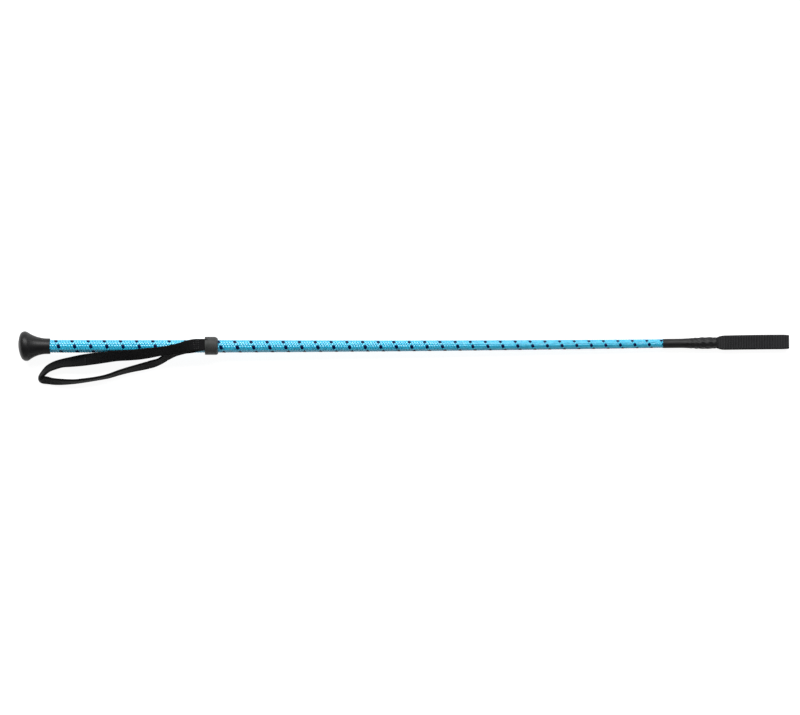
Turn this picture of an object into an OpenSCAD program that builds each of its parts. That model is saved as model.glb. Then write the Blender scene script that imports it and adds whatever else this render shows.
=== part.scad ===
// Riding whip: a tapered rod in a braided cover, with a rubber butt cap, a webbing wrist strap
// that leaves a rubber collar, and a folded webbing flap bound into a shrunk sleeve at the tip.
// It lies on a flat surface at z = 0, butt towards -X and flap towards +X. All sizes are in mm.

/* [Shaft] */
// Overall length, from the butt to the end of the flap
whip_length = 650; // [600:10:750]
// Diameter of the braided grip
grip_d = 10.3; // [9.9:0.1:10.4]
// Diameter of the braided shaft where the tip sleeve starts
tip_d = 6.9; // [6.4:0.1:7]
// Wall of the braided cover
braid_wall = 1.0; // [0.7:0.1:1.1]
// Diameter of the rod in the grip
rod_d = 7.0; // [6:0.1:7.2]
// Diameter of the rod at its tip
rod_tip_d = 4.0; // [3:0.1:4.2]

/* [Butt cap] */
// Largest diameter of the cap, at its rim
cap_d = 24.4; // [22:0.2:26]
// Length of the cap, from its dome to the end of its neck
cap_length = 26.4; // [26:0.2:30]
// Outside diameter of the cap's neck
cap_neck_d = 12.6; // [12.2:0.1:13]
// Radius of the domed end
dome_radius = 24; // [20:1:60]
// Rounding of the rim
rim_round = 4.5; // [4:0.1:5.5]

/* [Collar] */
// Where the collar starts, measured from the butt
collar_start = 157; // [156.8:0.1:157.2]
// Length of the collar
collar_length = 11; // [10.6:0.1:12]
// Outside diameter of the collar
collar_d = 14.4; // [14.4:0.1:15]
// How far the collar bulges over the strap tails
collar_bulge = 2.6; // [2.4:0.1:3]

/* [Wrist strap] */
// Width of the webbing
strap_width = 9.6; // [9:0.1:9.8]
// Thickness of the webbing
strap_thickness = 1.5; // [1.3:0.1:1.6]

/* [Tip sleeve and flap] */
// Length of the shrunk sleeve
sleeve_length = 45.2; // [40:0.2:50]
// Diameter of the sleeve on the braid
sleeve_d = 7.5; // [7.4:0.1:8]
// Diameter of the sleeve over the bound flap tails
sleeve_bulge_d = 9.2; // [9.2:0.1:10]
// Diameter of the sleeve at its mouth
sleeve_mouth_d = 8.7; // [8.6:0.1:9]
// Length of the flap outside the sleeve
flap_length = 61.8; // [50:0.2:70]
// Width of the flap
flap_width = 12.1; // [11.5:0.1:14]
// Thickness of one leaf of the folded flap
leaf_thickness = 1.5; // [1.2:0.1:1.6]

/* [Hidden] */

gap = 0.03;            // between layers that lie on each other
facets = 96;
grip_r = grip_d / 2;
tip_r = tip_d / 2;
cap_r = cap_d / 2;
cap_neck_r = cap_neck_d / 2;
collar_end = collar_start + collar_length;
sleeve_end = whip_length - flap_length;
sleeve_start = sleeve_end - sleeve_length;
bulge_pos = sleeve_end - 9;
bulge_r = sleeve_bulge_d / 2;
braid_start = 12;
braid_end = sleeve_end - 14;
rod_start = 9;
rod_end = sleeve_end - 15;
taper = (grip_r - tip_r) / (sleeve_start - collar_end);

// The cap's outline: a dome, a rounded rim and a hollow flare that runs into a short neck.
flare_end = cap_length - 2;
rim_pos = dome_radius - sqrt(pow(dome_radius - rim_round, 2) - pow(cap_r - rim_round, 2));
flare_run = flare_end - rim_pos;
flare_rise = cap_neck_r - cap_r + rim_round;
flare_radius = (pow(flare_run, 2) + pow(flare_rise, 2) - pow(rim_round, 2))
    / (2 * (rim_round - flare_rise));
dome_angle = atan2(cap_r - rim_round, dome_radius - rim_pos);
flare_angle = atan2(flare_run, cap_neck_r + flare_radius - cap_r + rim_round);

// The whip rests on the cap's rim and on the bulge of the sleeve, so its axis slopes a little.
rest_tilt = atan2(cap_r - bulge_r, bulge_pos - rim_pos);
butt_height = cap_r * cos(rest_tilt) + rim_pos * sin(rest_tilt);
middle = whip_length / 2 * cos(rest_tilt);

strap_side = 6;        // turn of the tails around the shaft
tail = 0.95;           // thickness of a tail pressed flat under the collar

// The wrist strap's route from the collar, round the hand loop and back to the collar:
// distance from the butt, sideways, height above the surface, lean of the outer face.
strap_route = [
    [153.5, 0.7, 18.4, 6], [148, 0.6, 18.5, 2], [142, -0.7, 19.0, -12], [135, -2.5, 18.7, -27],
    [128, -3.7, 18.7, -36], [120, -4.6, 18.5, -43], [111, -5.9, 16.7, -35],
    [102, -7.0, 15.3, -27], [93, -7.8, 14.3, -30], [83, -8.2, 13.8, -27],
    [73, -9.4, 13.4, -21], [63, -10.6, 11.9, -6], [53, -11.9, 9.0, 17], [44, -13.1, 6.3, 34],
    [37, -14.1, 4.6, 45], [30.2, -16.0, 4.4, 48], [23.8, -19.1, 4.9, 58],
    [19.2, -23.8, 5.2, 73], [18.4, -26.4, 5.2, 77], [21.3, -27.8, 4.7, 55],
    [27.2, -29.4, 4.9, 60], [35, -30.0, 5.1, 65], [45.3, -29.9, 5.2, 74], [54, -29.0, 5.2, 77],
    [65, -27.4, 5.2, 79], [75, -25.4, 5.3, 76], [85, -22.2, 6.1, 71], [95, -19.5, 6.7, 66],
    [104, -17.4, 7.0, 59], [112, -15.3, 7.4, 55], [119, -12.8, 8.3, 62], [126, -8.3, 10.8, 51],
    [133, -4.6, 14.9, 36], [140, -2.1, 16.4, 18], [147, -1.1, 16.6, 1], [153.5, 0.6, 16.5, -6]
];
route_steps = 2;

// The flap turns about a line across the shaft, just outside the sleeve.
flap_hinge_pos = sleeve_end + 2;
flap_half = leaf_thickness + 0.1;

function rubber() = [0.16, 0.16, 0.17];
function webbing() = [0.18, 0.18, 0.19];
function thread() = [0.10, 0.10, 0.11];

// Braid radius at a distance from the butt: the grip is straight and the rest tapers.
function braid_r(pos) = pos < collar_end ? grip_r : grip_r - taper * (pos - collar_end);

function arc_points(centre, radius, from, to, steps) =
    [for (i = [0:steps]) let (a = from + (to - from) * i / steps) centre + radius * [cos(a), sin(a)]];

// Moves a shape built along the whip's own axis, with the butt at 0, to where the whip lies.
module laid() {
    translate([-middle, 0, butt_height])
        rotate([0, rest_tilt, 0])
            children();
}

// Turns an outline of [distance from the butt, radius] points about the whip's axis.
module turned(outline) {
    rotate([0, 90, 0])
        rotate_extrude($fn = facets)
            polygon([for (p = outline) [p[1], p[0]]]);
}

// A tube between two outlines that run the same way.
module tube(outer, inner) {
    turned(concat(outer, [for (i = [len(inner) - 1:-1:0]) inner[i]]));
}

// Turns of thread side by side, as a ring with a ridge for each turn.
module thread_ring(from, to, inner_r, outer_r) {
    turns = round((to - from) / 0.8);
    pitch = (to - from) / turns;
    ridge = [for (k = [0:4 * turns])
        [from + pitch * k / 4, outer_r - 0.12 + 0.12 * abs(sin(45 * k))]];
    tube(ridge, [[from, inner_r], [to, inner_r]]);
}

module core_rod() {
    color([0.85, 0.85, 0.78])
        laid()
            turned([[rod_start, 0], [rod_start, rod_d / 2], [collar_end, rod_d / 2],
                [rod_end, rod_tip_d / 2], [rod_end, 0]]);
}

// Filler yarn laid on the rod that brings it up to the size of the braid.
module padding_wrap() {
    rod_taper = (rod_d - rod_tip_d) / 2 / (rod_end - collar_end);
    end_pos = rod_end - 2;
    color([0.90, 0.88, 0.80])
        laid()
            tube([[braid_start, grip_r - braid_wall - gap], [collar_end, grip_r - braid_wall - gap],
                    [end_pos, braid_r(end_pos) - braid_wall - gap]],
                [[braid_start, rod_d / 2 + gap], [collar_end, rod_d / 2 + gap],
                    [end_pos, rod_d / 2 + gap - rod_taper * (end_pos - collar_end)]]);
}

module braided_cover() {
    color([0.33, 0.76, 0.88])
        laid()
            tube([[braid_start, grip_r], [collar_end, grip_r], [braid_end, braid_r(braid_end)]],
                [[braid_start, grip_r - braid_wall], [collar_end, grip_r - braid_wall],
                    [braid_end, braid_r(braid_end) - braid_wall]]);
}

module butt_binding() {
    color(thread())
        laid()
            thread_ring(braid_start, braid_start + 8, grip_r + gap, grip_r + 0.7);
}

module butt_cap() {
    rim_centre = [rim_pos, cap_r - rim_round];
    flare_centre = [flare_end, cap_neck_r + flare_radius];
    binding_end = braid_start + 8.3;
    color(rubber())
        laid()
            difference() {
                turned(concat(
                    arc_points([dome_radius, 0], dome_radius, 180, 180 - dome_angle, 14),
                    arc_points(rim_centre, rim_round, 180 - dome_angle, 90 - flare_angle, 12),
                    arc_points(flare_centre, flare_radius, 270 - flare_angle, 270, 16),
                    [[cap_length, cap_neck_r], [cap_length, 0]]));
                turned([[rod_start - gap, 0], [rod_start - gap, rod_d / 2 + gap],
                    [braid_start - gap, rod_d / 2 + gap], [braid_start - gap, grip_r + 0.75],
                    [binding_end, grip_r + 0.75], [binding_end, grip_r + gap],
                    [cap_length + 1, grip_r + gap], [cap_length + 1, 0]]);
            }
}

function route_point(i) = strap_route[max(0, min(len(strap_route) - 1, i))];

// A smooth curve through the route points, with t running from 0 to the last point's number.
function on_route(t) = let (
        i = min(floor(t), len(strap_route) - 2),
        s = t - i,
        a = route_point(i - 1),
        b = route_point(i),
        c = route_point(i + 1),
        d = route_point(i + 2)
    )
    b + s * (c - a) / 2 + s * s * (a - 2.5 * b + 2 * c - d / 2)
        + s * s * s * (1.5 * b - 1.5 * c + (d - a) / 2);

function place(p) = [p[0] - middle, p[1], p[2]];
function unit(v) = v / norm(v);

// The strap's section at t: its centre, its direction across the webbing and its outer normal.
function strap_frame(t) = let (
        last = len(strap_route) - 1,
        ahead = place(on_route(min(t + 0.05, last))),
        behind = place(on_route(max(t - 0.05, 0))),
        along = unit(ahead - behind),
        outward = unit(cross(along, [0, 0, 1])),
        up = cross(outward, along),
        lean = on_route(t)[3],
        normal = cos(lean) * up + sin(lean) * outward
    )
    [place(on_route(t)), cross(along, normal), normal];

function strap_ring(t) = let (
        f = strap_frame(t),
        w = strap_width / 2,
        h = strap_thickness / 2,
        edge = 0.45
    )
    [for (c = [[w, h - edge], [w - edge, h], [edge - w, h], [-w, h - edge],
            [-w, edge - h], [edge - w, -h], [w - edge, -h], [w, edge - h]])
        f[0] + c[0] * f[1] + c[1] * f[2]];

module wrist_strap() {
    sides = 8;
    rings = (len(strap_route) - 1) * route_steps;
    points = [for (i = [0:rings]) each strap_ring(i / route_steps)];
    start = [for (k = [0:sides - 1]) k];
    end = [for (k = [sides - 1:-1:0]) rings * sides + k];
    skin = [for (i = [0:rings - 1]) for (k = [0:sides - 1])
        let (a = i * sides + k, b = i * sides + (k + 1) % sides)
            each [[a, a + sides, b + sides], [a, b + sides, b]]];
    color(webbing())
        polyhedron(points, concat([start, end], skin));
}

// Three rows of stitches across both strands of the strap, beside the collar.
module strap_stitching() {
    stitches = 5;
    stitch = strap_width / stitches;
    color(thread())
        for (row = [0:2])
            for (i = [0:stitches - 1])
                let (f = strap_frame(0.12 + 0.3 * row), side = stitch * (i + 0.5) - strap_width / 2)
                    translate(f[0] + side * f[1] + (strap_thickness / 2 + 0.05) * f[2])
                        rotate([-strap_side, 0, 0])
                            cube([0.5, stitch * 0.75, 0.4], center = true);
}

// A strip of webbing pulled round the shaft, as a part of a ring about the whip's axis.
module curled_strip(from, to, inner_r, outer_r, centre_angle, half_angle) {
    translate([from, 0, 0])
        rotate([0, 90, 0])
            rotate([0, 0, 180 - centre_angle - half_angle])
                rotate_extrude(angle = 2 * half_angle, $fn = facets)
                    translate([inner_r, 0])
                        square([outer_r - inner_r, to - from]);
}

// The two ends of the wrist strap, one on the other, flattened on the shaft under the collar.
// With more than no room, it is the pocket that holds them.
module tails(from, to, room) {
    half = strap_width / 2 / (grip_r + tail) * 57.3;
    curled_strip(from, to, grip_r + gap - room, grip_r + tail + room, strap_side, half + 12 * room);
    curled_strip(from, to, grip_r + tail + gap - room, grip_r + 2 * tail + room, strap_side,
        half * 0.86 + 12 * room);
}

module strap_tails() {
    color(webbing())
        laid()
            tails(collar_start - 0.4, collar_end - 2, 0);
}

// A round bar set above the whip's axis, so that it takes in both the shaft and the tails on it.
module over_tails(from, to, r) {
    translate([from, 0, 0])
        rotate([-strap_side, 0, 0])
            translate([0, 0, tail])
                rotate([0, 90, 0])
                    cylinder(r = r, h = to - from, $fn = facets);
}

binding_r = grip_r + tail + 0.35;

module collar_binding() {
    color(thread())
        laid()
            difference() {
                over_tails(collar_start + 2.5, collar_end - 3.5, binding_r + 0.3);
                over_tails(collar_start, collar_end, binding_r);
            }
}

// A moulded ring with a square face to the hand and a rounded face to the tip.
module collar_bar() {
    collar_r = collar_d / 2;
    round_r = 1.7;
    turned(concat([[collar_start, 0], [collar_start, collar_r - 0.4], [collar_start + 0.4, collar_r]],
        arc_points([collar_end - round_r, collar_r - round_r], round_r, 90, 0, 8),
        [[collar_end, 0]]));
}

module collar() {
    color([0.22, 0.22, 0.23])
        laid()
            difference() {
                for (up = [0, collar_bulge / 2, collar_bulge])
                    rotate([-strap_side, 0, 0])
                        translate([0, 0, up])
                            collar_bar();
                turned([[collar_start - 1, 0], [collar_start - 1, grip_r + gap],
                    [collar_end + 1, grip_r + gap], [collar_end + 1, 0]]);
                tails(collar_start - 1, collar_end - 1.8, 0.06);
                over_tails(collar_start + 2.4, collar_end - 3.4, binding_r + 0.35);
            }
}

// The flap seen from the side: one strip of webbing folded back on itself at the far end.
module flap_side() {
    fold = whip_length - flap_half;
    difference() {
        union() {
            translate([flap_hinge_pos, 0])
                circle(r = flap_half, $fn = 48);
            translate([flap_hinge_pos, -flap_half])
                square([fold - flap_hinge_pos, 2 * flap_half]);
            translate([fold, 0])
                circle(r = flap_half, $fn = 48);
        }
        translate([flap_hinge_pos + 12, -0.1])
            square([fold - flap_hinge_pos - 12, 0.2]);
        translate([fold, 0])
            circle(r = 0.3, $fn = 24);
    }
}

// The flap seen from above: a neck that widens from the sleeve to the full width.
module flap_plan() {
    neck = sleeve_mouth_d / 2;
    side = flap_width / 2;
    corner = 0.8;
    outline = [[flap_hinge_pos - flap_half - 1, neck], [flap_hinge_pos - flap_half, neck],
        [flap_hinge_pos - 0.4, neck + 0.5], [flap_hinge_pos + 1.3, side - 0.6],
        [flap_hinge_pos + 3, side - 0.3], [flap_hinge_pos + 5, side - 0.1],
        [flap_hinge_pos + 30, side], [whip_length - 5, side - 0.05],
        [whip_length - corner, side - 0.35], [whip_length + 1, side - corner - 0.1]];
    polygon(concat(outline,
        [for (i = [len(outline) - 1:-1:0]) [outline[i][0], -outline[i][1]]]));
}

module flap() {
    color(webbing())
        laid()
            intersection() {
                translate([0, flap_width, 0])
                    rotate([90, 0, 0])
                        linear_extrude(2 * flap_width)
                            flap_side();
                translate([0, 0, -5])
                    linear_extrude(10)
                        flap_plan();
            }
}

// Two rows of stitches that hold the flap's leaves together by its neck.
module flap_stitching() {
    stitches = 6;
    stitch = (flap_width - 1.6) / stitches;
    color(thread())
        laid()
            for (row = [0, 1.6])
                for (i = [0:stitches - 1])
                    for (face = [-1, 1])
                        translate([flap_hinge_pos + 9.5 + row, stitch * (i + 0.5 - stitches / 2),
                                face * (flap_half + 0.05)])
                            cube([0.5, stitch * 0.75, 0.3], center = true);
}

// The flap's two ends, curled round the end of the braid inside the sleeve.
module flap_tails() {
    from = sleeve_end - 22;
    outer = [[from, braid_r(from) + 0.3], [from + 12, 3.95], [sleeve_end - 5, 3.95],
        [sleeve_end - 0.2, 3.9]];
    inner = [[from, braid_r(from) + gap], [braid_end + 0.5, braid_r(from) + gap],
        [sleeve_end - 6, 2.7], [sleeve_end - 0.2, 2.6]];
    slit = 0.6;
    color(webbing())
        laid()
            difference() {
                tube(outer, inner);
                translate([from - 1, -6, -slit / 2])
                    cube([24, 12, slit]);
            }
}

module tip_binding() {
    color(thread())
        laid()
            thread_ring(bulge_pos - 2.5, bulge_pos + 2.5, 3.95 + gap, 4.28);
}

module tip_sleeve() {
    wall = 0.25;
    tails = sleeve_end - 22;
    color(rubber())
        laid()
            tube([[sleeve_start, tip_r + gap + wall], [sleeve_start + 0.4, sleeve_d / 2],
                    [sleeve_start + 15.5, sleeve_d / 2 + 0.02], [tails + 1, sleeve_d / 2 + 0.15],
                    [tails + 9, 4.25], [bulge_pos - 2.9, bulge_r - 0.03], [bulge_pos, bulge_r],
                    [bulge_pos + 3.5, bulge_r - 0.04], [sleeve_end - 0.5, sleeve_mouth_d / 2 + 0.05],
                    [sleeve_end, sleeve_mouth_d / 2 - 0.1]],
                [[sleeve_start, braid_r(sleeve_start) + gap], [tails - 0.3, braid_r(tails) + gap],
                    [tails - 0.3, braid_r(tails) + 0.3 + gap], [tails + 11.7, 3.95 + gap],
                    [bulge_pos - 2.7, 3.95 + gap], [bulge_pos - 2.7, 4.33], [bulge_pos + 2.7, 4.33],
                    [bulge_pos + 2.7, 3.95 + gap], [sleeve_end, 3.95 + gap]]);
}

core_rod();
padding_wrap();
braided_cover();
butt_binding();
butt_cap();
wrist_strap();
strap_stitching();
strap_tails();
collar_binding();
collar();
flap();
flap_stitching();
flap_tails();
tip_binding();
tip_sleeve();
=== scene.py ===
"""Looks of the braided riding whip: camera, wrist strap, braid, rubber and webbing, on a pale floor.

Lengths named _MM are in millimetres, as in the part's own source; everything made here is in metres.
"""

import math

import bmesh
import bpy
import numpy as np
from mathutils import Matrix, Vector


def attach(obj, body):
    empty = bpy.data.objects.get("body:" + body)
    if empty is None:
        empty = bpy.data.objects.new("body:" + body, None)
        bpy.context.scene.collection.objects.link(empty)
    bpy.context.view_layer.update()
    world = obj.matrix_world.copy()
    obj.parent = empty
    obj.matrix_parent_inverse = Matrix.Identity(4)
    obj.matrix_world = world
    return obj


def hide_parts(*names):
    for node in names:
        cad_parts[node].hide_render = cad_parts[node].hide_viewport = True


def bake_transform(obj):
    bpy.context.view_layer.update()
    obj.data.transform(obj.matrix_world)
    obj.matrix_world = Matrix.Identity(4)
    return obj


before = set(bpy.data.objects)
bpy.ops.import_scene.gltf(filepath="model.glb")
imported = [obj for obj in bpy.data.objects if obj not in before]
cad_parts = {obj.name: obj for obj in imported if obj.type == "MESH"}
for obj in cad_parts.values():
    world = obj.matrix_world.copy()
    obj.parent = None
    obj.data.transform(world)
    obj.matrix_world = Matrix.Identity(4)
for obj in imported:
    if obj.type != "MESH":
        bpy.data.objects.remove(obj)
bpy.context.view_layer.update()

MM = 0.001
# The visual skins stand this much prouder than the part's plain solids.
PROUD_MM = 0.3

# ---------------------------------------------------------------- sizes shared with the part

WHIP_MM = 650.0
GRIP_R_MM = 5.15
TIP_R_MM = 3.45
CAP_R_MM = 12.2
CAP_LENGTH_MM = 26.4
CAP_NECK_R_MM = 6.3
DOME_RADIUS_MM = 24.0
RIM_ROUND_MM = 4.5
COLLAR_START_MM = 157.0
COLLAR_END_MM = 168.0
COLLAR_R_MM = 7.2
COLLAR_BULGE_MM = 2.6
STRAP_WIDTH_MM = 9.6
STRAP_THICKNESS_MM = 1.5
STRAP_HINGE_MM = 153.5
STRAP_SIDE = math.radians(6)
SLEEVE_START_MM = 543.0
SLEEVE_END_MM = 588.2
SLEEVE_R_MM = 3.75
BULGE_AT_MM = 579.2
BULGE_R_MM = 4.6
MOUTH_R_MM = 4.35
FLAP_HINGE_MM = 590.2
FLAP_WIDTH_MM = 12.1
LEAF_MM = 1.5

rim_at = DOME_RADIUS_MM - math.sqrt(
    (DOME_RADIUS_MM - RIM_ROUND_MM) ** 2 - (CAP_R_MM - RIM_ROUND_MM) ** 2
)
tilt = math.atan2(CAP_R_MM - BULGE_R_MM, BULGE_AT_MM - rim_at)
butt_height = CAP_R_MM * math.cos(tilt) + rim_at * math.sin(tilt)
middle = WHIP_MM / 2 * math.cos(tilt)

# The wrist strap's route, as in the part: distance from the butt, sideways, height above the
# surface, and the lean of the outer face in degrees.
STRAP_ROUTE = [
    (153.5, 0.7, 18.4, 6), (148, 0.6, 18.5, 2), (142, -0.7, 19.0, -12), (135, -2.5, 18.7, -27),
    (128, -3.7, 18.7, -36), (120, -4.6, 18.5, -43), (111, -5.9, 16.7, -35),
    (102, -7.0, 15.3, -27), (93, -7.8, 14.3, -30), (83, -8.2, 13.8, -27),
    (73, -9.4, 13.4, -21), (63, -10.6, 11.9, -6), (53, -11.9, 9.0, 17), (44, -13.1, 6.3, 34),
    (37, -14.1, 4.6, 45), (30.2, -16.0, 4.4, 48), (23.8, -19.1, 4.9, 58),
    (19.2, -23.8, 5.2, 73), (18.4, -26.4, 5.2, 77), (21.3, -27.8, 4.7, 55),
    (27.2, -29.4, 4.9, 60), (35, -30.0, 5.1, 65), (45.3, -29.9, 5.2, 74), (54, -29.0, 5.2, 77),
    (65, -27.4, 5.2, 79), (75, -25.4, 5.3, 76), (85, -22.2, 6.1, 71), (95, -19.5, 6.7, 66),
    (104, -17.4, 7.0, 59), (112, -15.3, 7.4, 55), (119, -12.8, 8.3, 62), (126, -8.3, 10.8, 51),
    (133, -4.6, 14.9, 36), (140, -2.1, 16.4, 18), (147, -1.1, 16.6, 1), (153.5, 0.6, 16.5, -6),
]


# The shaft is not quite straight: how far it lies to the side, in mm, at places along it.
BOW_AT = ((0, 0.3), (30, 0.1), (90, -0.3), (180, -0.7), (240, -0.85), (320, -1.0), (400, -0.85),
          (490, -0.45), (545, 0.0), (575, 0.15), (590, 0.35), (600, 0.55), (620, 0.75), (650, 0.85))


def smooth_line(knots):
    """A smooth function through knots of (place, value), flat beyond its ends."""
    at = np.linspace(knots[0][0], knots[-1][0], 400)
    line = np.interp(at, [k[0] for k in knots], [k[1] for k in knots])
    kernel = np.hanning(41) / np.hanning(41).sum()
    line = np.convolve(np.pad(line, 20, mode="edge"), kernel, "valid")
    return lambda x: np.interp(x, at, line)


BOW = smooth_line(BOW_AT)


def laid(points):
    """Points along the whip's own axis (from the butt, sideways, up, in mm) as they lie, in metres."""
    p = np.asarray(points, float)
    along, side, up = p[..., 0], p[..., 1], p[..., 2]
    side = side + BOW(along)
    x = -middle + along * math.cos(tilt) + up * math.sin(tilt)
    z = butt_height - along * math.sin(tilt) + up * math.cos(tilt)
    return np.stack([x, side, z], -1) * MM


def axis_direction(v):
    """A direction given in the whip's own axes, as it points where the whip lies."""
    along, side, up = np.moveaxis(np.asarray(v, float), -1, 0)
    x = along * math.cos(tilt) + up * math.sin(tilt)
    z = up * math.cos(tilt) - along * math.sin(tilt)
    return np.stack([x, side, z], -1)


def braid_r(at):
    """Radius of the braided shaft in mm: a straight grip, then a taper to the tip."""
    share = np.clip((at - COLLAR_END_MM) / (SLEEVE_START_MM - COLLAR_END_MM), 0, 1.2)
    return GRIP_R_MM + (TIP_R_MM - GRIP_R_MM) * share


def smooth(x):
    x = np.clip(x, 0, 1)
    return x * x * (3 - 2 * x)


# ---------------------------------------------------------------- camera

CAMERA_HEIGHT = 3.3
camera = bpy.data.objects.new("camera", bpy.data.cameras.new("camera"))
bpy.context.scene.collection.objects.link(camera)
camera.location = (-0.00377, -0.0108, CAMERA_HEIGHT)
camera.rotation_euler = (0, 0, math.radians(-0.27))
camera.data.lens = 175.71
camera.data.sensor_width = 36
camera.data.clip_start = 0.01
camera.data.clip_end = 20
bpy.context.scene.camera = camera


# ---------------------------------------------------------------- mesh helpers


def skin(name, rings, caps=True):
    """A closed mesh over rings of points (ring, point, xyz). Its UV runs round each ring from
    0 to 1, and along the rings in millimetres."""
    rings = np.asarray(rings, float)
    m, n = rings.shape[:2]
    steps = np.linalg.norm(np.diff(rings.mean(1), axis=0), axis=1)
    lengths = np.concatenate([[0], np.cumsum(steps)]) / MM
    i, k = np.meshgrid(np.arange(m - 1), np.arange(n), indexing="ij")
    k2 = (k + 1) % n
    quads = np.stack([i * n + k, (i + 1) * n + k, (i + 1) * n + k2, i * n + k2], -1)
    faces = quads.reshape(-1, 4).tolist()
    if caps:
        faces.append(list(range(n)))
        faces.append(list(range(m * n - 1, (m - 1) * n - 1, -1)))
    mesh = bpy.data.meshes.new(name)
    mesh.from_pydata(rings.reshape(-1, 3).tolist(), [], faces)
    uv = mesh.uv_layers.new(name="along")
    us = np.stack([k / n, k / n, (k + 1) / n, (k + 1) / n], -1)
    vs = np.stack([lengths[i], lengths[i + 1], lengths[i + 1], lengths[i]], -1)
    coords = np.stack([us, vs], -1).reshape(-1)
    if caps:
        coords = np.concatenate([coords, np.zeros(4 * n)])
    uv.data.foreach_set("uv", coords.astype(np.float32))
    made = bmesh.new()
    made.from_mesh(mesh)
    bmesh.ops.recalc_face_normals(made, faces=made.faces)
    made.to_mesh(mesh)
    made.free()
    smooth_flags = np.ones(len(mesh.polygons), bool)
    if caps:
        smooth_flags[-2:] = False
    mesh.polygons.foreach_set("use_smooth", smooth_flags)
    thing = bpy.data.objects.new(name, mesh)
    bpy.context.scene.collection.objects.link(thing)
    return thing


def lathe(name, outline, round_steps, shape=None):
    """Turns an outline of (distance from the butt, radius) in mm about the whip's axis.
    shape(distance, angle, radius) may change the radius, and angle 0 is straight up."""
    outline = np.asarray(outline, float)
    angles = np.linspace(0, 2 * math.pi, round_steps, endpoint=False)
    at, turn = np.meshgrid(outline[:, 0], angles, indexing="ij")
    radius = np.repeat(outline[:, 1:2], round_steps, 1) + PROUD_MM * smooth(outline[:, 1:2] - 1)
    if shape:
        radius = shape(at, turn, radius)
    rings = laid(np.stack([at, radius * np.sin(turn), radius * np.cos(turn)], -1))
    return skin(name, rings)


def arc(centre, radius, start, end, steps):
    a = np.linspace(math.radians(start), math.radians(end), steps)
    return np.stack([centre[0] + radius * np.cos(a), centre[1] + radius * np.sin(a)], -1)


def finer(outline, step):
    """The same outline with points no further apart than step."""
    outline = np.asarray(outline, float)
    made = [outline[0]]
    for a, b in zip(outline[:-1], outline[1:]):
        parts = max(1, math.ceil(np.linalg.norm(b - a) / step))
        made += [a + (b - a) * j / parts for j in range(1, parts + 1)]
    return np.array(made)


# ---------------------------------------------------------------- material helpers


class Nodes:
    """A material's node tree, with short calls to add and join nodes."""

    def __init__(self, name, **settings):
        self.material = bpy.data.materials.new(name)
        self.material.use_nodes = True
        self.tree = self.material.node_tree
        self.shader = self.tree.nodes["Principled BSDF"]
        for socket, value in settings.items():
            self.shader.inputs[socket.replace("_", " ")].default_value = value

    def add(self, kind, inputs=None, **properties):
        node = self.tree.nodes.new("ShaderNode" + kind)
        for key, value in properties.items():
            setattr(node, key, value)
        for key, value in (inputs or {}).items():
            if isinstance(value, bpy.types.NodeSocket):
                self.tree.links.new(value, node.inputs[key])
            else:
                node.inputs[key].default_value = value
        return node

    def math(self, operation, a, b=0.0, c=0.0):
        return self.add("Math", {0: a, 1: b, 2: c}, operation=operation).outputs[0]

    def noise(self, vector, scale, detail=3.0, stretch=(1, 1, 1)):
        mapped = self.add("Mapping", {"Vector": vector, "Scale": stretch})
        node = self.add(
            "TexNoise",
            {"Vector": mapped.outputs["Vector"], "Scale": scale, "Detail": detail},
        )
        return node.outputs["Fac"]

    def ramp(self, value, stops):
        node = self.add("ValToRGB", {"Fac": value})
        elements = node.color_ramp.elements
        while len(elements) < len(stops):
            elements.new(0.5)
        for element, (position, colour) in zip(elements, stops):
            element.position = position
            element.color = (*colour, 1)
        return node.outputs["Color"]

    def spread(self, value, low, high):
        node = self.add("MapRange", {"Value": value, "To Min": low, "To Max": high})
        return node.outputs["Result"]

    def bump(self, height, distance, strength=1.0, normal=None):
        inputs = {"Height": height, "Distance": distance, "Strength": strength}
        if normal is not None:
            inputs["Normal"] = normal
        return self.add("Bump", inputs).outputs["Normal"]

    def use(self, socket, value):
        self.tree.links.new(value, self.shader.inputs[socket])


def object_coords(nodes):
    return nodes.add("TexCoord").outputs["Object"]


def uv_parts(nodes):
    """The UV's two numbers: round the section from 0 to 1, and along in millimetres."""
    split = nodes.add("SeparateXYZ", {"Vector": nodes.add("TexCoord").outputs["UV"]})
    return split.outputs["X"], split.outputs["Y"]


def rubber(name, dark, light, roughness):
    """Satin black rubber: faint mottling, a fine pebbled skin and slight scuffs."""
    nodes = Nodes(name, IOR=1.34)
    place = object_coords(nodes)
    mottle = nodes.noise(place, 90, 5)
    nodes.use("Base Color", nodes.ramp(mottle, [(0.3, dark), (0.7, light)]))
    scuff = nodes.noise(place, 700, 4, (0.3, 1, 1))
    nodes.use("Roughness", nodes.spread(scuff, roughness - 0.08, roughness + 0.1))
    pebble = nodes.noise(place, 2600, 2)
    nodes.use("Normal", nodes.bump(pebble, 0.00006, 0.5))
    return nodes.material


def braid_yarn(name, dark, light, gloss):
    """Glossy nylon yarn: filaments along the strand, twisted a little, with colour variation."""
    nodes = Nodes(name, Specular_IOR_Level=gloss)
    across, along = uv_parts(nodes)
    filament = nodes.add(
        "CombineXYZ",
        {"X": nodes.math("MULTIPLY_ADD", along, 0.04, nodes.math("MULTIPLY", across, 26.0)),
         "Y": nodes.math("MULTIPLY", along, 0.35)},
    ).outputs["Vector"]
    strands = nodes.noise(filament, 1.0, 2)
    patch = nodes.noise(object_coords(nodes), 420, 3)
    tone = nodes.math("MULTIPLY_ADD", patch, 0.5, nodes.math("MULTIPLY", strands, 0.5))
    nodes.use("Base Color", nodes.ramp(tone, [(0.38, dark), (0.70, light)]))
    nodes.use("Roughness", nodes.spread(strands, 0.16, 0.32))
    nodes.use("Normal", nodes.bump(strands, 0.00005, 0.4))
    return nodes.material


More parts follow.
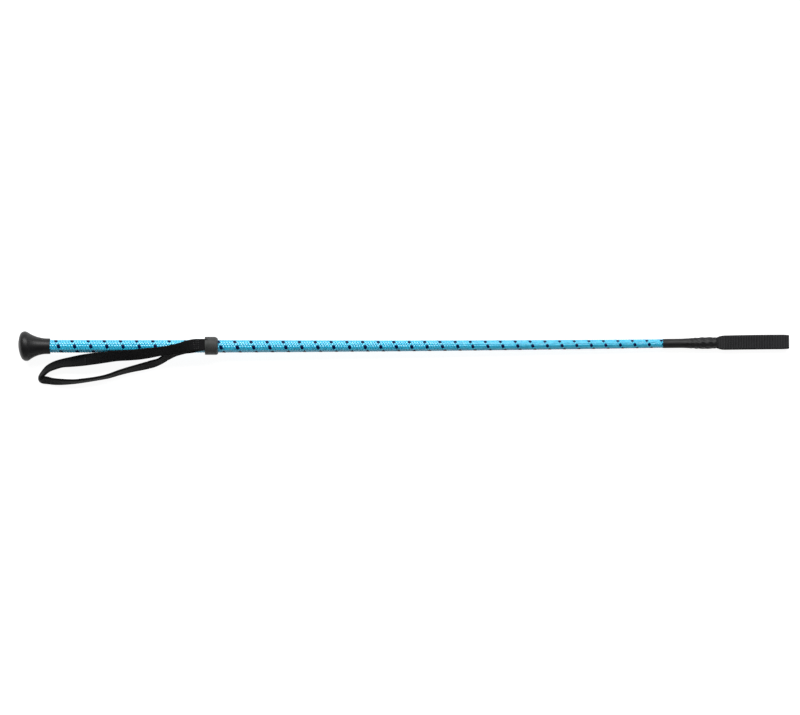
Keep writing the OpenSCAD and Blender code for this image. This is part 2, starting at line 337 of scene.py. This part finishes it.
def webbing(name, dark, light, rib_mm, contrast, ior):
    """Black nylon webbing: a fine rib across the strap crossed by warp yarns along it."""
    nodes = Nodes(name, IOR=ior)
    across, along = uv_parts(nodes)
    turn = 2 * math.pi
    warp = nodes.math("SINE", nodes.math("MULTIPLY", across, turn * 34))
    wavy = nodes.math("MULTIPLY", warp, 0.9)
    weft = nodes.math("SINE", nodes.math("MULTIPLY_ADD", along, turn / rib_mm, wavy))
    weave = nodes.math("ADD", nodes.math("MULTIPLY", warp, 0.5), nodes.math("MULTIPLY", weft, 0.5))
    fuzz = nodes.noise(object_coords(nodes), 1500, 4)
    # Painted shade: the base colour darkens towards both edges of the webbing, standing in for the
    # shade on its rounded sides.
    from_edge = nodes.math("ABSOLUTE", nodes.math("SINE", nodes.math("MULTIPLY", across, turn)))
    selvedge_and_edge_shade = nodes.add(
        "MapRange",
        {"Value": from_edge, "From Min": 0.15, "From Max": 0.4, "To Min": -0.3, "To Max": 0.0},
    ).outputs["Result"]
    tone = nodes.math("ADD", nodes.math("MULTIPLY_ADD", weave, contrast, fuzz), selvedge_and_edge_shade)
    nodes.use("Base Color", nodes.ramp(tone, [(0.3, dark), (0.75, light)]))
    nodes.use("Roughness", nodes.spread(fuzz, 0.55, 0.8))
    woven = nodes.bump(weave, 0.0001, 0.7)
    nodes.use("Normal", nodes.bump(fuzz, 0.00008, 0.4, woven))
    return nodes.material


def thread(name, dark, light):
    """Twisted sewing thread."""
    nodes = Nodes(name, Specular_IOR_Level=0.5)
    across, along = uv_parts(nodes)
    turned = nodes.math("MULTIPLY", across, 12.57)
    twist = nodes.math("SINE", nodes.math("MULTIPLY_ADD", along, 9.0, turned))
    nodes.use("Base Color", nodes.ramp(nodes.spread(twist, 0.0, 1.0), [(0.2, dark), (0.8, light)]))
    nodes.use("Roughness", nodes.spread(twist, 0.4, 0.6))
    nodes.use("Normal", nodes.bump(twist, 0.00005, 0.6))
    return nodes.material


def shrunk_tube(name):
    """Black shrunk tube: smooth satin with fine creases round it and slight dust."""
    nodes = Nodes(name, IOR=1.33)
    place = object_coords(nodes)
    dust = nodes.noise(place, 160, 5)
    stops = [(0.35, (0.003, 0.003, 0.0035)), (0.7, (0.009, 0.009, 0.010))]
    nodes.use("Base Color", nodes.ramp(dust, stops))
    crease = nodes.noise(place, 240, 4, (0.35, 1.4, 1.4))
    nodes.use("Roughness", nodes.spread(crease, 0.42, 0.62))
    nodes.use("Normal", nodes.bump(crease, 0.0006, 0.5))
    return nodes.material


def plain_core(name, dark, light, scale, stretch):
    """Hidden fillers and the rod: streaked along the whip."""
    nodes = Nodes(name)
    streak = nodes.noise(object_coords(nodes), scale, 3, stretch)
    nodes.use("Base Color", nodes.ramp(streak, [(0.3, dark), (0.7, light)]))
    nodes.use("Roughness", nodes.spread(streak, 0.5, 0.8))
    nodes.use("Normal", nodes.bump(streak, 0.0001, 0.5))
    return nodes.material


def dress(thing, material):
    thing.data.materials.clear()
    thing.data.materials.append(material)
    return thing


BLUE_YARN = braid_yarn("blue_yarn", (0.006, 0.31, 0.51), (0.03, 0.53, 0.74), 1.0)
NAVY_YARN = braid_yarn("navy_yarn", (0.0002, 0.003, 0.028), (0.0006, 0.010, 0.06), 0.1)
CAP_RUBBER = rubber("cap_rubber", (0.003, 0.003, 0.0035), (0.008, 0.008, 0.0085), 0.42)
COLLAR_RUBBER = rubber("collar_rubber", (0.018, 0.021, 0.019), (0.046, 0.045, 0.045), 0.6)
STRAP_WEBBING = webbing("strap_webbing", (0.001, 0.001, 0.0012), (0.007, 0.007, 0.0078), 1.1, 0.2, 1.2)
FLAP_WEBBING = webbing("flap_webbing", (0.004, 0.004, 0.0043), (0.022, 0.022, 0.024), 2.2, 0.42, 1.3)
BLACK_THREAD = thread("black_thread", (0.006, 0.006, 0.007), (0.022, 0.022, 0.024))
SHRUNK_TUBE = shrunk_tube("shrunk_tube")
FIBREGLASS = plain_core("fibreglass", (0.62, 0.62, 0.50), (0.74, 0.74, 0.64), 400, (0.05, 1, 1))
FILLER_YARN = plain_core("filler_yarn", (0.03, 0.28, 0.42), (0.06, 0.42, 0.58), 900, (1, 1, 1))

# ---------------------------------------------------------------- ribbons: the strap and the flap


def on_route(route, t):
    """A smooth curve through a route's points, with t from 0 to the last point's number."""
    route = np.asarray(route, float)
    last = len(route) - 1
    i = np.minimum(np.floor(t).astype(int), last - 1)
    s = (t - i)[:, None]
    a, b = route[np.maximum(i - 1, 0)], route[i]
    c, d = route[i + 1], route[np.minimum(i + 2, last)]
    return (
        b + s * (c - a) / 2 + s**2 * (a - 2.5 * b + 2 * c - d / 2)
        + s**3 * (1.5 * b - 1.5 * c + (d - a) / 2)
    )


def ribbon_frames(centres, lean):
    """Along the ribbon: its direction across the webbing and its outer normal."""
    ahead = np.gradient(centres, axis=0)
    ahead /= np.linalg.norm(ahead, axis=1, keepdims=True)
    outward = np.cross(ahead, [0, 0, 1.0])
    outward /= np.linalg.norm(outward, axis=1, keepdims=True)
    up = np.cross(outward, ahead)
    lean = np.radians(lean)[:, None]
    normal = np.cos(lean) * up + np.sin(lean) * outward
    return np.cross(ahead, normal), normal


def webbing_section(across, steps=17):
    """Points round a strap's section as (across from -1 to 1, side from -1 to 1)."""
    x = np.linspace(1, -1, steps)
    edge = 1 - np.abs(x) ** across
    side = 0.45 + 0.55 * np.clip(edge * 6, 0, 1) ** 0.5
    top = np.stack([x, side], -1)
    bottom = np.stack([x[::-1], -side], -1)
    return np.concatenate([top, bottom])


def ribbon(name, centres, across, normal, width, thickness, relief=None):
    """A closed strap along centres. width and thickness are in mm, one for each ring, and
    relief(ring, across) adds height in mm to both faces."""
    section = webbing_section(12)
    w = np.asarray(width)[:, None] / 2 * section[None, :, 0]
    h = np.asarray(thickness)[:, None] / 2 * section[None, :, 1]
    if relief is not None:
        ring = np.arange(len(centres))[:, None]
        h = h + np.sign(section[None, :, 1]) * relief(ring, section[None, :, 0])
    points = (
        centres[:, None, :] + w[:, :, None] * MM * across[:, None, :]
        + h[:, :, None] * MM * normal[:, None, :]
    )
    return skin(name, points)


# ---------------------------------------------------------------- wrist strap (the cord)

STRAP_STEPS = 20
strap_t = np.linspace(0, len(STRAP_ROUTE) - 1, (len(STRAP_ROUTE) - 1) * STRAP_STEPS + 1)
strap_path = on_route(STRAP_ROUTE, strap_t)
# Both ends run on into the collar.
INTO_COLLAR_MM = 6.0
entry = np.linspace(1, 0, 20, endpoint=False)[:, None]
first, last = strap_path[0], strap_path[-1]
# The fold at the butt is drawn out to a corner.
corner = np.exp(-(((strap_path[:, 0] - 18.5) / 3.5) ** 2))
strap_path[:, 0] -= 0.7 * corner
strap_path[:, 1] -= 1.1 * corner
into = np.array([INTO_COLLAR_MM, 0.0, -INTO_COLLAR_MM * math.tan(tilt) - 0.6, 0.0])
strap_path = np.concatenate([first + entry * into, strap_path, (last + entry * into)[::-1]])
strap_centres = (strap_path[:, :3] - [middle, 0, 0]) * MM
strap_across, strap_normal = ribbon_frames(strap_centres, strap_path[:, 3])
strap_steps = np.linalg.norm(np.diff(strap_centres, axis=0), axis=1)
strap_run = np.concatenate([[0], np.cumsum(strap_steps)]) / MM

# Creases that cross the strap, in mm from its start; the first two are sewn.
STRAP_SEAMS_MM = [104.4, 243.5, 258.8, 16.6]


def strap_relief(ring, across):
    run = strap_run[ring]
    rib = 0.025 * np.sin(2 * math.pi * run / 1.1)
    seam = sum(-0.3 * np.exp(-(((run - s) / 0.45) ** 2)) for s in STRAP_SEAMS_MM)
    selvedge_and_edge_shade = 0.10 * np.exp(-(((np.abs(across) - 0.86) / 0.06) ** 2))
    return rib + seam + selvedge_and_edge_shade


# The webbing is narrower and thicker where it folds.
BEND_MM = 148.2
pinch = np.exp(-(((strap_run - BEND_MM) / 5) ** 2))
strap = ribbon(
    "wrist_strap_webbing", strap_centres, strap_across, strap_normal,
    STRAP_WIDTH_MM + 0.3 - 0.8 * pinch, STRAP_THICKNESS_MM + 0.25 + 0.8 * pinch, strap_relief,
)
dress(strap, STRAP_WEBBING)
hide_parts("wrist_strap")
strap_exit = laid([COLLAR_START_MM, 1.4, 7.2])
collar_side = Vector(laid([COLLAR_START_MM - 0.1, 0, 6.9]))
loop_side = Vector(laid([STRAP_HINGE_MM - 4.0, 0, 6.9]))
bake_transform(strap)

# ---------------------------------------------------------------- stitches


def stitch(start, end, normal, thick=0.42, arch=0.22, rings=9, sides=8):
    """Points of one stitch: a thread that rises from start, arches over and dives at end."""
    start, end, normal = np.asarray(start), np.asarray(end), np.asarray(normal)
    t = np.linspace(0, 1, rings)
    height = arch * np.sin(math.pi * t) - 0.25 * np.abs(2 * t - 1) ** 3
    centre = start + t[:, None] * (end - start) + (height * MM)[:, None] * normal
    ahead = (end - start) / np.linalg.norm(end - start)
    side = np.cross(ahead, normal)
    a = np.linspace(0, 2 * math.pi, sides, endpoint=False)
    radius = thick / 2 * MM * (0.8 + 0.2 * np.sin(math.pi * t))
    offset = np.cos(a)[:, None] * side + np.sin(a)[:, None] * normal
    return centre[:, None, :] + radius[:, None, None] * offset[None]


def stitches(name, runs):
    """One piece of many stitches."""
    parts = [skin(name + str(i), stitch(*run)) for i, run in enumerate(runs)]
    made = bmesh.new()
    for part in parts:
        made.from_mesh(part.data)
    mesh = bpy.data.meshes.new(name)
    made.to_mesh(mesh)
    made.free()
    for part in parts:
        bpy.data.objects.remove(part)
    thing = bpy.data.objects.new(name, mesh)
    bpy.context.scene.collection.objects.link(thing)
    return dress(thing, BLACK_THREAD)


def strap_spot(run, across):
    """A point on the strap's outer face, run mm from its start, and the normal there."""
    i = int(np.searchsorted(strap_run, run))
    lift = STRAP_THICKNESS_MM / 2 * MM
    return strap_centres[i] + across * MM * strap_across[i] + lift * strap_normal[i], strap_normal[i]


def strap_row(run, count):
    """A row of stitches straight across the strap."""
    pitch = (STRAP_WIDTH_MM - 1.2) / count
    for i in range(count):
        a, normal = strap_spot(run, pitch * (i + 0.12 - count / 2))
        b, _ = strap_spot(run, pitch * (i + 0.88 - count / 2))
        yield a, b, normal


root_rows = [row for run in (7.6, 9.5, 11.4) for row in strap_row(run, 5)]
root_stitches = stitches("strap_stitches", root_rows)
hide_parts("strap_stitching")
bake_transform(root_stitches)
seam_rows = [row for run in STRAP_SEAMS_MM[:2] for row in strap_row(run, 6)]
seam_stitches = stitches("strap_seam_stitches", seam_rows)
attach(seam_stitches, "loop")

# ---------------------------------------------------------------- braid

CARRIERS = 12
BRAID_START_MM = 20.0
BRAID_END_MM = 562.0
TRACER_TOP_MM = 33.95
YARN_MM = 0.72
# Pitch of one whole turn of a strand, in mm, at places along the whip.
PITCH_AT = ((0, 13.57), (105, 13.57), (125, 13.84), (165, 13.8), (197, 13.61), (251, 13.42),
            (304, 13.1), (356, 12.86), (410, 12.58), (487, 12.26), (560, 12.15))


def pitch_mm(at):
    return np.interp(at, [p[0] for p in PITCH_AT], [p[1] for p in PITCH_AT])


RING_STEP_MM = 13.0 / 48
braid_at = np.arange(BRAID_START_MM, BRAID_END_MM, RING_STEP_MM)
braid_steps = 2 * math.pi * RING_STEP_MM / pitch_mm(braid_at[:-1])
braid_turn = np.concatenate([[0], np.cumsum(braid_steps)])
tracer_phase = float(np.interp(TRACER_TOP_MM, braid_at, braid_turn))
# The whole braid is turned a little about the shaft, and more so past the collar.
braid_twist = np.radians(-2 - 10 * smooth((braid_at - 152) / 14))


def carrier(number):
    """One strand of a one-over-one braid: even numbers turn one way, odd numbers the other.
    Strand 0 is the tracer, a thicker yarn that lies on top a little longer."""
    tracer = number == 0
    hand = -1 if number % 2 == 0 else 1
    start = math.radians(60) * (number // 2) - hand * tracer_phase
    turn = hand * braid_turn + start + braid_twist
    # On one side of the shaft the tracer shows for longer.
    showing = 0.5 + 0.45 * np.clip(-np.sin(turn), 0, 1) if tracer else 0
    wave = -hand * np.cos(6 * (braid_turn - tracer_phase)) + showing
    lift = np.clip(np.tanh(1.6 * wave) / math.tanh(1.6), -1, 1)
    surface = braid_r(braid_at) + PROUD_MM
    pitch = pitch_mm(braid_at)
    thick = YARN_MM * (1.08 if tracer else 1)
    radius = surface - 0.30 - YARN_MM / 2 + 0.30 * lift
    slope = 2 * math.pi * radius / pitch
    steep = np.arctan(slope)
    width = pitch / 6 * np.sin(steep) * (0.88 + 0.10 * lift) * (1.5 if tracer else 1)
    a = np.linspace(0, 2 * math.pi, 12, endpoint=False)
    side = np.sign(np.cos(a)) * np.abs(np.cos(a)) ** 0.9
    height = np.sin(a)
    # The strand runs round the whip; its width lies mostly along the whip.
    along = width[:, None] / 2 * side * np.sin(steep)[:, None]
    around = -hand * width[:, None] / 2 * side * np.cos(steep)[:, None]
    r = radius[:, None] + thick / 2 * height
    angle = turn[:, None] + around / radius[:, None]
    return laid(np.stack([braid_at[:, None] + along, r * np.sin(angle), r * np.cos(angle)], -1))


for number in range(CARRIERS):
    yarn = skin(f"braid_strand_{number + 1}", carrier(number))
    dress(yarn, NAVY_YARN if number == 0 else BLUE_YARN)
    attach(yarn, "whip")
    if number == 0:
        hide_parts("braided_cover")

# ---------------------------------------------------------------- butt cap


def cap_outline():
    flare_end = CAP_LENGTH_MM - 2
    flare_run = flare_end - rim_at
    rise = CAP_NECK_R_MM - CAP_R_MM + RIM_ROUND_MM
    flare = (flare_run**2 + rise**2 - RIM_ROUND_MM**2) / (2 * (RIM_ROUND_MM - rise))
    rim = (rim_at, CAP_R_MM - RIM_ROUND_MM)
    dome = math.degrees(math.atan2(rim[1], DOME_RADIUS_MM - rim_at))
    bend = math.degrees(math.atan2(flare_run, CAP_NECK_R_MM + flare - rim[1]))
    return np.concatenate([
        arc((DOME_RADIUS_MM, 0), DOME_RADIUS_MM, 179.8, 180 - dome, 40),
        arc(rim, RIM_ROUND_MM, 180 - dome, 90 - bend, 40)[1:],
        arc((flare_end, CAP_NECK_R_MM + flare), flare, 270 - bend, 270, 60)[1:],
        [(CAP_LENGTH_MM - 0.15, CAP_NECK_R_MM)],
        [(CAP_LENGTH_MM + 0.25, CAP_NECK_R_MM - 0.15), (CAP_LENGTH_MM + 0.3, GRIP_R_MM + 0.1),
         (CAP_LENGTH_MM - 3, GRIP_R_MM + 0.02)],
    ])


cap = lathe("butt_cap_rubber", finer(cap_outline(), 0.4), 160)
# The moulding is a little skewed: its rim leans towards the butt on the +Y side.
for point in cap.data.vertices:
    from_butt = (point.co.x / MM + middle) - 8
    point.co.x -= 0.055 * point.co.y * (1 - float(smooth(from_butt / 14)))
dress(cap, CAP_RUBBER)
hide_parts("butt_cap")
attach(cap, "whip")

# ---------------------------------------------------------------- collar


def over_strap(at, turn, radius):
    """A round section grown over the strap's tails: straight sides and a second round above."""
    share = np.clip(radius / COLLAR_R_MM, 0, 1)
    rise = COLLAR_BULGE_MM * share
    a = np.arctan2(np.sin(turn - STRAP_SIDE), np.cos(turn - STRAP_SIDE))
    sideways = np.abs(np.sin(a)) + 1e-6
    on_side = radius / sideways
    on_top = rise * np.cos(a) + np.sqrt(np.maximum(radius**2 - (rise * np.sin(a)) ** 2, 0))
    above = np.where(on_side * np.cos(a) < rise, on_side, on_top)
    grown = np.where(np.cos(a) > 0, above, radius)
    worn = smooth((at - COLLAR_END_MM + 3.2) / 3.2) * np.clip(np.sin(turn), 0, 1)
    return grown - 0.9 * worn * share


collar_outline = np.concatenate([
    [(COLLAR_START_MM, GRIP_R_MM + 0.1), (COLLAR_START_MM, COLLAR_R_MM - 0.45)],
    arc((COLLAR_START_MM + 0.45, COLLAR_R_MM - 0.45), 0.45, 180, 90, 6),
    arc((COLLAR_END_MM - 1.7, COLLAR_R_MM - 1.7), 1.7, 90, 0, 14),
    [(COLLAR_END_MM, GRIP_R_MM + 0.1)],
])
collar = lathe("collar_rubber_ring", finer(collar_outline, 0.4), 120, over_strap)
for point in collar.data.vertices:
    point.co.y += 0.3 * MM
dress(collar, COLLAR_RUBBER)
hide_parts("collar")
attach(collar, "whip")

# ---------------------------------------------------------------- tip sleeve


def sleeve_shape(at, turn, radius):
    """Creases of the shrunk tube: lobes over the bundle and slanted wrinkles near the mouth."""
    bundle = smooth((at - 558) / 14)
    lobes = 0.10 * bundle * np.cos(4 * turn + 0.6) + 0.06 * bundle * np.cos(7 * turn - at / 9)
    near_mouth = smooth((at - 562) / 8) * smooth((SLEEVE_END_MM - 0.5 - at) / 3)
    wrinkle = np.sin(at * 1.25 + 6 * turn + 1.5 * np.sin(at / 5))
    wrinkle = wrinkle + 0.5 * np.sin(at * 0.9 - 5 * turn)
    edge = smooth((at - SLEEVE_START_MM) / 1.0)
    return radius - 0.12 + (lobes + 0.13 * near_mouth * wrinkle) * edge


sleeve_outline = [
    (SLEEVE_START_MM, TIP_R_MM - 0.1), (SLEEVE_START_MM, TIP_R_MM + 0.22),
    (SLEEVE_START_MM + 0.5, SLEEVE_R_MM), (558.5, SLEEVE_R_MM + 0.02), (566, SLEEVE_R_MM + 0.3),
    (572, 4.35), (576.3, BULGE_R_MM), (BULGE_AT_MM, BULGE_R_MM + 0.08), (582.7, BULGE_R_MM),
    (586, 4.5), (SLEEVE_END_MM - 0.3, MOUTH_R_MM + 0.05), (SLEEVE_END_MM, MOUTH_R_MM - 0.15),
    (SLEEVE_END_MM - 0.2, MOUTH_R_MM - 0.4), (SLEEVE_END_MM - 5, 3.9),
]
sleeve = lathe("tip_sleeve_tube", finer(sleeve_outline, 0.35), 120, sleeve_shape)
dress(sleeve, SHRUNK_TUBE)
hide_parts("tip_sleeve")
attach(sleeve, "whip")

# ---------------------------------------------------------------- flap

FLAP_RIB_MM = 2.2
flap_fold = WHIP_MM - LEAF_MM - 0.1
leaf_run = np.arange(SLEEVE_END_MM - 2.5, flap_fold, 0.2)
fold_turn = np.linspace(math.pi / 2, -math.pi / 2, 18)[1:-1]
leaf_height = LEAF_MM / 2 + 0.1
upper = np.stack([leaf_run, 0 * leaf_run, leaf_height + 0 * leaf_run], -1)
fold_out = flap_fold + leaf_height * np.cos(fold_turn)
fold = np.stack([fold_out, 0 * fold_turn, leaf_height * np.sin(fold_turn)], -1)
lower = upper[::-1] * [1, 1, -1]
flap_line = np.concatenate([upper, fold, lower])
flap_along = np.gradient(flap_line, axis=0)
flap_along /= np.linalg.norm(flap_along, axis=1, keepdims=True)
flap_out = np.stack([-flap_along[:, 2], 0 * flap_along[:, 2], flap_along[:, 0]], -1)


def flap_width_mm(at):
    half = FLAP_WIDTH_MM / 2
    places = [SLEEVE_END_MM, FLAP_HINGE_MM - 0.4, FLAP_HINGE_MM + 1.3, FLAP_HINGE_MM + 3,
              FLAP_HINGE_MM + 5, FLAP_HINGE_MM + 30, WHIP_MM - 5, WHIP_MM - 0.8, WHIP_MM]
    halves = [4.3, 4.85, half - 0.6, half - 0.3, half - 0.1, half, half - 0.05, half - 0.35,
              half - 0.55]
    return 2 * np.interp(at, places, halves) + PROUD_MM


def flap_relief(ring, across):
    at = flap_line[ring, 0]
    ribbed = smooth((at - 594) / 4) * (1 - 0.75 * smooth((at - 632) / 6))
    wave = np.sin(2 * math.pi * (at - leaf_run[0]) / FLAP_RIB_MM)
    rib = 0.2 * ribbed * wave * (1 - np.abs(across) ** 10)
    selvedge_and_edge_shade = 0.10 * np.exp(-(((np.abs(across) - 0.88) / 0.05) ** 2))
    return rib + selvedge_and_edge_shade - 0.12


flap = ribbon(
    "flap_webbing", laid(flap_line), axis_direction(np.cross(flap_along, flap_out)),
    axis_direction(flap_out), flap_width_mm(flap_line[:, 0]), LEAF_MM - 0.1 + 0 * flap_line[:, 0],
    flap_relief,
)
dress(flap, FLAP_WEBBING)
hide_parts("flap")
mouth_side = Vector(laid([SLEEVE_END_MM - 0.2, 0, 0]))
flap_side = Vector(laid([FLAP_HINGE_MM + 2.2, 0, 0]))
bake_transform(flap)

flap_runs = []
for row in (9.6, 11.2):
    for i in range(6):
        for face in (1, -1):
            at = FLAP_HINGE_MM + row
            pitch = (FLAP_WIDTH_MM - 1.6) / 6
            height = face * (LEAF_MM + 0.12)
            ends = [laid([at, pitch * (i + e - 3), height]) for e in (0.12, 0.88)]
            flap_runs.append((ends[0], ends[1], axis_direction([0, 0, face]), 0.35, 0.12))
flap_stitches = stitches("flap_stitches", flap_runs)
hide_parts("flap_stitching")
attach(flap_stitches, "tip_flap")

# ---------------------------------------------------------------- CAD nodes that stay

for node, material in {
    "core_rod": FIBREGLASS, "padding_wrap": FILLER_YARN, "butt_binding": BLACK_THREAD,
    "strap_tails": STRAP_WEBBING, "collar_binding": BLACK_THREAD,
    "flap_tails": FLAP_WEBBING, "tip_binding": BLACK_THREAD,
}.items():
    dress(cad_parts[node], material)

# ---------------------------------------------------------------- floor and light

floor_nodes = Nodes("floor", Specular_IOR_Level=0.2)
floor_tone = floor_nodes.noise(object_coords(floor_nodes), 3, 2)
floor_greys = [(0.3, (0.24, 0.24, 0.24)), (0.7, (0.26, 0.26, 0.26))]
floor_nodes.use("Base Color", floor_nodes.ramp(floor_tone, floor_greys))
floor_nodes.use("Roughness", floor_nodes.spread(floor_tone, 0.75, 0.8))
floor_nodes.shader.inputs["Emission Color"].default_value = (1, 1, 1, 1)
floor_nodes.shader.inputs["Emission Strength"].default_value = 0.93
floor_mesh = bpy.data.meshes.new("floor")
floor_mesh.from_pydata([(-4, -4, 0), (4, -4, 0), (4, 4, 0), (-4, 4, 0)], [], [(0, 1, 2, 3)])
floor = bpy.data.objects.new("floor", floor_mesh)
bpy.context.scene.collection.objects.link(floor)
floor.data.materials.append(floor_nodes.material)


def softbox(name, place, target, size, power):
    light = bpy.data.lights.new(name, "AREA")
    light.shape = "RECTANGLE"
    light.size, light.size_y = size
    light.energy = power
    lamp = bpy.data.objects.new(name, light)
    bpy.context.scene.collection.objects.link(lamp)
    lamp.location = place
    lamp.rotation_euler = (Vector(target) - Vector(place)).to_track_quat("-Z", "Y").to_euler()


softbox("key", (0.0, 1.12, 1.18), (0, 0, 0), (2.4, 0.75), 54)
softbox("fill", (0.0, -1.6, 0.75), (0, 0, 0), (2.4, 0.6), 3)
world = bpy.data.worlds.new("studio")
bpy.context.scene.world = world
world.use_nodes = True
world.node_tree.nodes["Background"].inputs["Color"].default_value = (1, 1, 1, 1)
world.node_tree.nodes["Background"].inputs["Strength"].default_value = 0.12
bpy.context.scene.view_settings.view_transform = "Standard"
